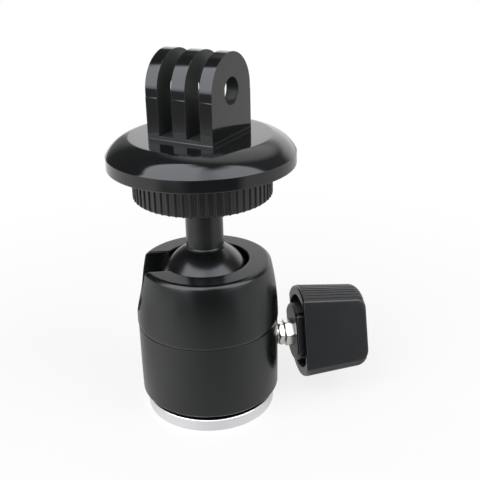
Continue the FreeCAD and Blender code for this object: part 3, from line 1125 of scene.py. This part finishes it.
@dataclass
class LockingWheel:
    """Ribbed wheel and the rubber pad over it."""

    finishes: Finishes
    ridges: RidgeTree
    sizes: WheelSizes = field(default_factory=WheelSizes)

    def wheel(self) -> Object:
        """Wheel with its ribs."""
        s = self.sizes
        root = s.radius - s.rib_depth
        start = Corner(s.recess_radius, 50.5)
        core = turned("wheel", rounded([
            start, Corner(s.recess_radius, s.bottom, 0.2), Corner(root, s.bottom, s.edge_round),
            Corner(root, s.top, s.edge_round), Corner(s.insert_radius, s.top), Corner(s.insert_radius, s.recess_top),
            Corner(s.recess_radius, s.recess_top), start]), 171)
        path = [(root - 0.5, 0, s.bottom + 0.12), (root, 0, s.bottom + 0.5), (root, 0, s.top - 0.3),
                (root - 0.5, 0, s.top - 0.02)]
        width = 2 * math.pi * s.radius / s.rib_count * s.rib_share
        return weighed(self.ridges.ridged(core, path, s.rib_count, 0.0, 360 / s.rib_count,
                                          (width, 2 * s.rib_depth, s.rib_round), self.finishes["wheel_plastic"]))

    def pad(self) -> Object:
        """Rubber pad."""
        s = self.sizes
        start = Corner(s.stud_gap, s.top)
        return weighed(turned("grip_pad", rounded([
            start, Corner(s.pad_radius, s.top, 0.15), Corner(s.pad_radius, s.pad_top, 0.15),
            Corner(s.stud_gap, s.pad_top), start]), 128))

    def pieces(self) -> list[Piece]:
        """Build the wheel's pieces."""
        f = self.finishes
        return [Piece(self.wheel(), "lock_wheel", ("lock_wheel",), "wheel_plastic").dress(f["wheel_plastic"]),
                Piece(self.pad(), "rubber_pad", ("rubber_pad",), "pad_rubber").dress(f["pad_rubber"])]


@dataclass
class AdapterSizes:
    """Sizes of the camera adapter, in millimetres."""

    foot: float = 55.87
    disc_radius: float = 19.46
    rim_draft: float = 0.05
    rim_height: float = 2.66
    dome_width: float = 4.8
    dome_rise: float = 3.52
    dome_share: float = 0.105
    slot_floor_rise: float = 0.8
    root_depth: float = 0.9
    outer_prong: float = 2.75
    middle_prong: float = 3.1
    slot: float = 3.2
    head_radius: float = 7.5
    ledge: float = 0.1
    ledge_drop: float = 0.95
    ledge_slope: float = 0.06
    foot_ledge: float = 0.08
    foot_line: float = 0.12
    edge_round: float = 0.16
    pivot: float = 71.32
    hole_radius: float = 2.72
    direction: float = -39.6
    pocket_radius: float = 5.61
    pocket_top: float = 61.0

    @property
    def disc_top(self) -> float:
        """Height of the disc's flat top."""
        return self.foot + self.rim_height + self.dome_rise

    @property
    def half_width(self) -> float:
        """Half the width over the three prongs."""
        return self.outer_prong + self.slot + self.middle_prong / 2


@dataclass
class CameraAdapter:
    """Domed disc with three prongs, one glossy moulding."""

    finishes: Finishes
    sizes: AdapterSizes = field(default_factory=AdapterSizes)

    def disc(self) -> Object:
        """Domed disc."""
        s = self.sizes
        rim, rim_top = s.disc_radius - s.rim_draft, s.foot + s.rim_height
        first, last = Vector((rim, rim_top)), Vector((rim - s.dome_width, s.disc_top))
        chord = last - first
        bulge = Vector((chord.y, -chord.x)) * s.dome_share
        radius = (chord.length ** 2 / 4 + bulge.length ** 2) / (2 * bulge.length)
        centre = (first + last) / 2 + bulge - bulge.normalized() * radius
        start, end = (math.degrees(math.atan2(point.y - centre.y, point.x - centre.x)) for point in (first, last))
        dome = arc_points((centre.x, centre.y), radius, start, end, 16)
        rise = [Corner(*dome[0], 0.12)] + [Corner(*point) for point in dome[1:-1]] + [Corner(*dome[-1], 0.2)]
        outline = rounded([Corner(s.pocket_radius, s.pocket_top), Corner(s.pocket_radius, s.foot, 0.15),
                           Corner(s.disc_radius, s.foot, 0.35), *rise, Corner(last.x - 1.2, s.disc_top),
                           Corner(3.0, s.disc_top), Corner(0.0, s.disc_top)])
        return turned("adapter_moulding", [(0.0, s.pocket_top)] + outline, 224, sharp=30.0)

    def prongs(self) -> Object:
        """Prongs and their foot, with rounded edges."""
        s = self.sizes
        wide = s.head_radius + s.ledge
        foot = wide + s.foot_ledge
        line, brow = s.disc_top + s.foot_line, s.pivot - s.ledge_drop
        flank = [(foot, s.disc_top - s.root_depth), (foot, line - s.ledge_slope), (wide, line),
                 (wide, brow - s.ledge_slope), (s.head_radius, brow)]
        side = flank + arc_points((0, s.pivot), s.head_radius, 0, 180, 56) + [(-y, z) for y, z in reversed(flank)]
        build = Build()
        build.loft([build.ring((x, y, z) for y, z in side) for x in (-s.half_width, s.half_width)])
        made = build.piece("prong_block")
        for left in (-s.middle_prong / 2 - s.slot, s.middle_prong / 2):
            tool, right = Build(), left + s.slot
            tool.loft([tool.ring([(left, -10, z), (right, -10, z), (right, 10, z), (left, 10, z)])
                       for z in (s.disc_top + s.slot_floor_rise, s.pivot + 12)])
            made = combined(made, tool.piece("slot_tool"), Cut.AWAY)
        along_x = Matrix.Translation((0, 0, s.pivot)) @ Matrix.Rotation(math.pi / 2, 4, "Y")
        drill = [(0, -12), (s.hole_radius, -12), (s.hole_radius, 12), (0, 12)]
        made = combined(made, turned("drill_tool", drill, 72, along_x), Cut.AWAY)
        made = shaded(modified(made, "BEVEL", {
            "width": s.edge_round * MM, "segments": 2, "limit_method": "ANGLE", "angle_limit": math.radians(40.0),
            "use_clamp_overlap": True, "miter_outer": "MITER_ARC"}))
        made.data.transform(Matrix.Rotation(math.radians(s.direction), 4, "Z"))
        return made

    def pieces(self) -> list[Piece]:
        """Build the adapter."""
        whole = weighed(shaded(combined(self.disc(), self.prongs(), Cut.WITH), 30.0))
        return [Piece(whole, "adapter", ("adapter",), "adapter_gloss").dress(self.finishes["adapter_gloss"])]


@dataclass(frozen=True)
class Hexagon:
    """A nut: half its width over the flats, its start and end, and how far its corners fall at both ends."""

    name: str
    half_flats: float
    low: float
    high: float
    falls: Point2
    tail: tuple[Point2, ...] = ()


@dataclass
class KnobSizes:
    """Sizes along the clamp screw, in millimetres from the housing's axis."""

    axis_height: float = 14.2
    screw_radius: float = 2.475
    screw_pitch: float = 0.8
    screw_thread_depth: float = 0.36
    screw_tip_radius: float = 1.2
    screw_start: float = 7.3
    screw_end: float = 30.82
    neck_radius: float = 1.95
    neck_start: float = 15.5
    bush_radius: float = 2.55
    bush_end: float = 25.97
    hexagon_spin: float = 50.0
    face: float = 19.1
    rim: float = 20.52
    floor: float = 26.02
    end: float = 35.02
    rim_radius: float = 10.4
    end_radius: float = 9.15
    rim_half_depth: float = 6.9
    end_half_depth: float = 6.25
    rim_round: float = 0.45
    wall: float = 1.4
    round_wall: float = 2.1
    hub_radius: float = 6.5
    hub_half_depth: float = 5.0
    end_round: float = 1.7
    flat_end_round: float = 0.4
    corner_round: float = 0.7
    ridge_pitch: float = 1.0
    ridge_section: Point3 = (0.42, 0.24, 0.08)
    ridge_count: int = 14
    turn: float = -17.5

    @property
    def nut(self) -> Hexagon:
        """Thin nut against which the knob is set."""
        return Hexagon("thin_nut", 2.45, 15.68, 16.88, (0.4, 0.06))

    @property
    def bush(self) -> Hexagon:
        """Bush with a round shank inside the knob."""
        tail = ((self.bush_radius, self.face), (self.bush_radius, self.bush_end))
        return Hexagon("hex_bush", 2.75, 17.14, self.face, (0.06, 0.02), tail)


@dataclass
class ClampKnob:
    """Clamp screw, nut, bush and knob, drawn along Z and laid on the clamp axis."""

    finishes: Finishes
    ridges: RidgeTree
    sizes: KnobSizes = field(default_factory=KnobSizes)

    def place(self, turn: float = 0.0) -> Matrix:
        """Lays a shape that is drawn along Z on the clamp axis, turned about it in degrees."""
        lay = Matrix.Rotation(math.radians(turn), 4, "X") @ Matrix.Rotation(math.pi / 2, 4, "Y")
        return Matrix.Translation((0, 0, self.sizes.axis_height)) @ lay

    def screw(self) -> Object:
        """Clamp screw, threaded where it shows."""
        s = self.sizes
        build = Build()
        start, tip = s.screw_start, s.screw_tip_radius
        rings = [build.circle(*point) for point in (
            (0, start), (tip - 0.1, start), (tip, start + 0.1), (tip, start + 1.0),
            (s.screw_radius - 0.2, start + 1.0), (s.screw_radius, start + 1.2))]
        rings += thread_rings(build, s.screw_radius, s.screw_thread_depth, s.screw_pitch, start + 1.4,
                              s.neck_start - 0.1)
        rings += [build.circle(*point) for point in (
            (s.neck_radius, s.neck_start), (s.neck_radius, s.screw_end), (0, s.screw_end))]
        build.loft(rings)
        return weighed(build.piece("clamp_screw_thread", self.place(), 50.0))

    def hexagon(self, nut: Hexagon) -> Object:
        """Hexagonal nut with its corners turned off at its ends.

        Args:
            nut: Its sizes.

        Returns:
            The new object.
        """
        count, steps = 144, 5
        flats = nut.half_flats
        inner, corner = flats - 0.05, flats / math.cos(math.radians(30))
        blend = corner - 0.12
        build = Build()

        def ring(limit: float, place: float) -> Ring:
            """Hexagon cut off at a radius.

            Args:
                limit: The radius.
                place: Where it is along the axis.

            Returns:
                Its vertices.
            """
            points = []
            for index in range(count):
                angle = 360 * index / count
                off = (angle - self.sizes.hexagon_spin + 30) % 60 - 30
                radius = min(limit, flats / math.cos(math.radians(off)))
                radius = min(radius, blend + 0.35 * max(0.0, radius - blend))
                points.append((*polar(radius, angle), place))
            return build.ring(points)

        hole = self.sizes.neck_radius + 0.03
        ease, far = 0.06, nut.tail[-1][1] if nut.tail else nut.high
        stops = [(inner + (corner - inner) * step / steps, (step / steps) ** 1.3) for step in range(1, steps + 1)]
        profile = [(hole, far), (hole, nut.low + 0.25), (hole + 0.25, nut.low), (flats - 0.25, nut.low),
                   (inner, nut.low + ease)]
        profile += [(radius, nut.low + ease + nut.falls[0] * fall) for radius, fall in stops]
        profile += [(radius, nut.high - ease - nut.falls[1] * fall) for radius, fall in reversed(stops)]
        profile += [(inner, nut.high - ease), (flats - 0.25, nut.high), *nut.tail]
        build.loft([ring(*point) for point in profile], closed=True)
        return weighed(build.piece(nut.name, self.place(), 50.0))

    def loop(self, build: Build, radius: float, half_depth: float, place: float) -> Ring:
        """Ring of a circle with two flats.

        Args:
            build: The mesh that gets it.
            radius: The circle's radius.
            half_depth: Half the depth over the flats.
            place: Where it is along the axis.

        Returns:
            Its vertices.
        """
        corner = self.sizes.corner_round
        depth = half_depth - corner
        reach = math.sqrt((radius - corner) ** 2 - depth ** 2)
        lean = math.degrees(math.atan2(depth, reach))
        first = arc_points((0, 0), radius, 0, lean, 14)[:-1] + arc_points((reach, depth), corner, lean, 90, 6)
        first += [(reach * (1 - step / 4), half_depth) for step in range(1, 5)]
        upper = first + [(-x, y) for x, y in reversed(first[:-1])]
        return build.ring((x, y, place) for x, y in upper + [(-x, -y) for x, y in upper[1:-1]])

    def skin(self, place: float) -> Point2:
        """The knob's outside.

        Args:
            place: A place along the axis.

        Returns:
            Its radius and half depth there.
        """
        s = self.sizes
        share = (place - s.rim) / (s.end - s.rim)
        sizes = []
        for first, last, ease in ((s.rim_radius, s.end_radius, s.end_round),
                                  (s.rim_half_depth, s.end_half_depth, s.flat_end_round)):
            into = max(0.0, place - (s.end - ease))
            sizes.append(first + (last - first) * share - ease + math.sqrt(max(0.0, ease ** 2 - into ** 2)))
        return sizes[0], sizes[1]

    def profile(self) -> list[Point3]:
        """The knob's outline from its end over the rim into the hollow and round the hub.

        Each quarter round either grows out from its radius and half depth or draws in from them.

        Returns:
            Radius, half depth and place of each ring.
        """
        s = self.sizes
        body_end = s.end - s.end_round
        places = [s.end - s.end_round + polar(s.end_round, angle)[1] for angle in range(90, 0, -9)]
        places += [s.end - s.flat_end_round + polar(s.flat_end_round, angle)[1] for angle in range(75, -1, -15)]
        places += [body_end + (s.rim + s.rim_round - body_end) * step / 6 for step in range(7)]
        rings = [(*self.skin(place), place) for place in sorted(set(places), reverse=True)]
        outer, hub = (s.rim_radius, s.rim_half_depth), (s.hub_radius, s.hub_half_depth)
        inner = (s.rim_radius - s.round_wall, s.rim_half_depth - s.wall)
        for radius, angles, sizes, foot, grows, rise in (
                (s.rim_round, (18, 36, 54, 72, 90), outer, s.rim, False, 1), (0.3, QUARTER, inner, s.rim, True, 1),
                (0.8, QUARTER, inner, s.floor, False, -1), (0.3, (0, 30, 60, 90), hub, s.floor, True, -1),
                (0.5, QUARTER, hub, s.face, False, 1)):
            for angle in angles:
                level, upright = (radius - reach for reach in polar(radius, angle))
                out, along = (upright, level) if grows else (-level, upright)
                rings.append((sizes[0] + out, sizes[1] + out, foot + rise * along))
        return rings

    def knob(self) -> Object:
        """Knob, lofted over its outline and into its bore, with its ridges."""
        s = self.sizes
        build = Build()
        rings = [self.loop(build, *ring) for ring in self.profile()]
        shank, neck = s.bush_radius + 0.01, s.neck_radius + 0.03
        like = [vertex.co.xy.normalized() for vertex in rings[-1]]
        for radius, place in ((s.bush_radius + 0.2, s.face), (shank, s.face + 0.2), (shank, s.bush_end),
                              (neck, s.bush_end), (neck, s.screw_end)):
            rings.append(build.ring((*(spoke * radius), place) for spoke in like))
        build.loft(rings)
        made = build.piece("knob_moulding")
        body_end = s.end - s.end_round
        places = [s.rim + 0.75, body_end] + [body_end + polar(s.end_round, angle)[1] for angle in (15, 30, 45, 55)]
        path = [(s.rim_radius - 0.5, 0.0, s.rim + 0.35)] + [(self.skin(place)[0], 0.0, place) for place in places]
        path.append((path[-1][0] - 1.0, 0.0, path[-1][2] + 0.1))
        step = math.degrees(s.ridge_pitch / s.rim_radius)
        for middle in (0.0, 180.0):
            first = middle - step * (s.ridge_count - 1) / 2
            made = self.ridges.ridged(made, path, s.ridge_count, first, step, s.ridge_section,
                                      self.finishes["knob_plastic"])
        made.data.transform(Matrix.Scale(MM, 4) @ self.place(s.turn) @ Matrix.Scale(1 / MM, 4))
        return weighed(made)

    def pieces(self) -> list[Piece]:
        """Build the clamp's pieces."""
        s, nickel, slot = self.sizes, self.finishes["bright_nickel"], "bright_steel"
        return [
            Piece(self.screw(), "clamp_knob", ("clamp_screw",), slot).dress(nickel),
            Piece(self.hexagon(s.nut), "clamp_knob", ("lock_nut",), slot).dress(nickel),
            Piece(self.hexagon(s.bush), "clamp_knob", ("knob_bush",), slot).dress(nickel),
            Piece(self.knob(), "clamp_knob", ("knob",), "knob_plastic").dress(self.finishes["knob_plastic"])]


# Studio


@dataclass(frozen=True)
class Bearing:
    """A direction from the mount, turned from straight away from the photograph's camera to the right."""

    azimuth: float
    elevation: float = 0.0

    def vector(self) -> Vector:
        """The direction as a unit vector."""
        turn, rise = math.radians(PhotoCamera.azimuth + self.azimuth), math.radians(self.elevation)
        return Vector((math.sin(turn) * math.cos(rise), math.cos(turn) * math.cos(rise), math.sin(rise)))


@dataclass(frozen=True)
class WashLamp:
    """A soft square lamp that lights colours evenly and leaves no highlight."""

    name: str
    bearing: Bearing
    side: float
    radiance: float
    distance: float = 0.6
    target: Point3 = (0.0, 0.0, 0.05)

    def build(self) -> Object:
        """Make the lamp."""
        data = bpy.data.lights.new(self.name, "AREA")
        data.shape, data.size = "SQUARE", self.side
        data.energy = self.radiance * math.pi * self.side ** 2
        lamp = linked(self.name, data)
        outward = self.bearing.vector()
        lamp.location = Vector(self.target) + outward * self.distance
        lamp.rotation_euler = (-outward).to_track_quat("-Z", "Y").to_euler()
        lamp.visible_camera = lamp.visible_glossy = False
        return lamp


@dataclass(frozen=True)
class TentWall:
    """A lit wall of the light tent, as gloss mirrors it. Angles are in degrees.

    Each edge is a pair: where the wall starts to fade and where it is gone.
    """

    azimuth: float
    front: Point2
    back: Point2
    foot: Point2
    top: Point2
    radiance: float
    back_lean: float = 0.0
    lean_from: float = 35.0

    def light(self, recipe: Recipe, direction: Socket, rise: Signal) -> Signal:
        """Light of the wall in a direction.

        Args:
            recipe: The world's nodes.
            direction: The direction.
            rise: Its elevation, in degrees.

        Returns:
            The wall's radiance there.
        """
        turn = swing(recipe, direction, self.azimuth)
        leaning = turn - self.back_lean * (rise - self.lean_from).at_least(0.0)
        return (turn.steps(*self.front, 1.0, 0.0) * leaning.steps(*self.back, 1.0, 0.0)
                * rise.steps(*self.foot, 1.0, 0.0) * rise.steps(*self.top, 1.0, 0.0) * self.radiance)


def swing(recipe: Recipe, vector: Socket, azimuth: float) -> Signal:
    """Turn of a vector from an azimuth, in degrees, positive towards larger azimuths."""
    ahead, aside = (recipe.along(vector, Bearing(azimuth + more).vector()) for more in (0, 90))
    return aside.maths("ARCTAN2", aside, ahead) * math.degrees(1.0)


@dataclass(frozen=True)
class PhotoCamera:
    """The camera that the photograph was fitted to."""

    focal_pixels: float = 799.0
    distance: float = 185.05
    elevation: float = 22.89
    roll: float = -1.42
    azimuth: float = 10.0
    origin_pixel: Point2 = (211.671, 394.072)
    sensor: float = 36.0

    def build(self) -> Object:
        """Make the camera and make it the scene's own."""
        look, right = Bearing(0, -self.elevation).vector(), Bearing(90).vector()
        up = right.cross(look)
        c, s = polar(1.0, self.roll)
        side, top = right * c + up * s, up * c - right * s
        shift_x, shift_y = ((pixel - IMAGE_SIDE / 2) * self.distance / self.focal_pixels
                            for pixel in self.origin_pixel)
        data = bpy.data.cameras.new("photo_camera")
        data.sensor_width = self.sensor
        data.lens = self.focal_pixels * self.sensor / IMAGE_SIDE
        data.clip_start = 0.005
        camera = linked("photo_camera", data)
        place = -(look * self.distance + side * shift_x - top * shift_y)
        axes = Matrix((side, top, -look)).transposed()
        camera.matrix_world = Matrix.Translation(place * MM) @ axes.to_4x4()
        bpy.context.scene.camera = camera
        return camera


@dataclass
class Studio:
    """Light tent with a pale floor, an opening for the camera, soft wash lamps and the camera."""

    floor_half: float = 1.5
    opening_azimuth: float = 171.0
    opening_reach: Point2 = (41.0, 26.0)
    low_reach: Point2 = (24.0, 10.0)
    opening_top: Point2 = (9.0, 20.0)
    white_from: Point2 = (0.05, 0.16)
    shadow_share: float = 0.2
    fill: float = 0.42
    camera: PhotoCamera = PhotoCamera()

    LAMPS = (WashLamp("left_wash", Bearing(-140, 50), 0.45, 3.5), WashLamp("right_wash", Bearing(120, 40), 0.40, 2.7))
    WALLS = (TentWall(-148, (-17, -72), (43, 51), (8, -10), (78, 90), 4.3, back_lean=0.95),
             TentWall(126, (14, 54), (-26, -32), (8, -10), (62, 78), 3.9))

    def floor(self) -> Object:
        """Pale floor with a soft shadow. In gloss it darkens towards the tent's opening."""
        build, half = Build(), self.floor_half / MM
        build.mesh.faces.new(build.ring([(-half, -half, 0), (half, -half, 0), (half, half, 0), (-half, half, 0)]))
        floor = build.piece("floor")
        made, recipe = new_recipe("pale_floor")
        seen, mirrored, passed = recipe.rays()
        place = recipe.place()
        distance = recipe.signal(recipe.node("ShaderNodeVectorMath", {"operation": "LENGTH"}, {0: place}), "Value")
        turn = swing(recipe, place, self.opening_azimuth)
        front, aside = (recipe.along(place, Bearing(azimuth).vector()) for azimuth in (180, 90))
        far, distant, nearer = distance.steps(0.05, 0.15), distance.steps(0.32, 0.5), distance.steps(0.235, 0.205)
        narrow = swing(recipe, place, 167.0).size().steps(66.0, 4.0)
        left_edge = ((0.75 * turn.steps(64.0, 48.0) + 0.25 * turn.steps(36.0, 16.0)) * nearer
                     + turn.steps(40.0, 17.0) * (1 - nearer))
        right_edge = (turn.steps(-46.0, -29.0) * (1 - distant)
                      + turn.steps(-self.low_reach[0], -self.low_reach[1]) * distant)
        opening = narrow * (1 - far) + left_edge * right_edge * far
        shade = front.steps(-0.012, 0.022, 0.55, 1.0)
        foot_gap = distance.steps(0.225, 0.265) * front.steps(0.03, 0.09)
        sides = aside.steps(-0.06, 0.06, 1.12, 0.84) * (far + (1 - far) * shade) * (1 - 0.75 * foot_gap)
        falling = (0.8 - 4.0 * distance).at_least(0.03)
        strength = mirrored * (opening * falling + (1 - opening) * sides) + (1 - mirrored)
        share = distance.steps(*self.white_from, 1 - self.shadow_share, 1.0)
        paper = recipe.node("ShaderNodeBsdfDiffuse", inputs={"Color": (0.9, 0.9, 0.9, 1.0)})
        light = recipe.node("ShaderNodeEmission", inputs={"Color": (1.0, 1.0, 1.0, 1.0), "Strength": strength})
        mixed = recipe.node("ShaderNodeMixShader", inputs={
            0: (seen + passed) * share + mirrored, 1: paper.outputs[0], 2: light.outputs[0]})
        recipe.node("ShaderNodeOutputMaterial", inputs={"Surface": mixed.outputs[0]})
        floor.data.materials.append(made)
        return floor

    def world(self) -> bpy.types.World:
        """White surroundings for the camera, the tent's walls for gloss, and a soft fill for colours."""
        world = bpy.data.worlds.new("light_tent")
        bpy.context.scene.world = world
        world.use_nodes = True
        world.cycles.sampling_method = "NONE"
        recipe = Recipe(world.node_tree)
        seen, mirrored, passed = recipe.rays()
        direction = recipe.node("ShaderNodeTexCoord").outputs["Generated"]
        height = recipe.along(direction, (0.0, 0.0, 1.0))
        rise = height.maths("ARCSINE", height) * math.degrees(1.0)
        away, right, glance, lens = (recipe.along(direction, bearing.vector()) for bearing in (
            Bearing(10), Bearing(90), Bearing(25, 54), Bearing(165, 24)))
        backdrop = away.steps(0.6, 0.86) * rise.steps(20.0, 31.0, 1.32, 0.0) * right.steps(-0.3, -0.12, 0.2, 1.0)
        vent = glance.steps(polar(1.0, 32)[0], polar(1.0, 14)[0], 0.0, 1.15)
        room = right.steps(-0.4, 0.7, 0.07, 0.19)
        turn = swing(recipe, direction, self.opening_azimuth)
        low_strip = rise.steps(1.0, 3.0, 1.0, 0.0) * turn.steps(-self.low_reach[0], -self.low_reach[1], 1.0, 0.0)
        closed = (1 - turn.size().steps(*self.opening_reach) * rise.steps(*self.opening_top, 1.0, 0.0)
                  * (1 - 0.6 * low_strip))
        closed = closed * (1 - 0.85 * lens.steps(polar(1.0, 19)[0], polar(1.0, 9)[0]))
        walls = sum((wall.light(recipe, direction, rise) for wall in self.WALLS), start=0.0) * closed
        plain = (1 - seen) * (1 - mirrored) * (1 - passed)
        strength = seen + passed + mirrored * (backdrop + vent + room) + plain * self.fill
        pale = recipe.node("ShaderNodeBackground", inputs={"Color": (1.0, 1.0, 1.0, 1.0), "Strength": strength})
        cool = recipe.node("ShaderNodeBackground", inputs={
            "Color": (0.91, 0.93, 1.0, 1.0), "Strength": mirrored * walls})
        both = recipe.node("ShaderNodeAddShader", inputs={0: pale.outputs[0], 1: cool.outputs[0]})
        recipe.node("ShaderNodeOutputWorld", inputs={"Surface": both.outputs[0]})
        return world

    def build(self) -> None:
        """Set up the studio."""
        bpy.context.scene.view_settings.view_transform = "Standard"
        self.floor()
        self.world()
        for lamp in self.LAMPS:
            lamp.build()
        self.camera.build()


def dress_hidden_nodes(finishes: Finishes) -> None:
    """Give the carried-over nodes their finishes.

    Args:
        finishes: The mount's materials.
    """
    wanted = {"wedge": "machined_brass", "seat_carrier": "base_silver", "seat_spring": "thread_steel",
              "ball_seat": "seat_nylon", "stud": "thread_steel", "wheel_insert": "machined_brass",
              "adapter_insert": "machined_brass"}
    for name, finish in wanted.items():
        node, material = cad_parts[name], finishes[finish]
        if node.material_slots:
            for slot in node.material_slots:
                slot.material = material
        else:
            node.data.materials.append(material)
        log.info("%s keeps its mesh and wears %s", name, material.name)


def main() -> None:
    """Build the mount's sub-assemblies in order, then the studio."""
    finishes = make_finishes()
    ridges = RidgeTree()
    assemblies = (Housing(finishes), BallPost(finishes), LockingWheel(finishes, ridges), CameraAdapter(finishes),
                  ClampKnob(finishes, ridges))
    for assembly in assemblies:
        for piece in assembly.pieces():
            piece.join_frame()
    dress_hidden_nodes(finishes)
    Studio().build()


if __name__ == "__main__":
    logging.basicConfig(level=logging.INFO, format="%(name)s: %(message)s")
    main()
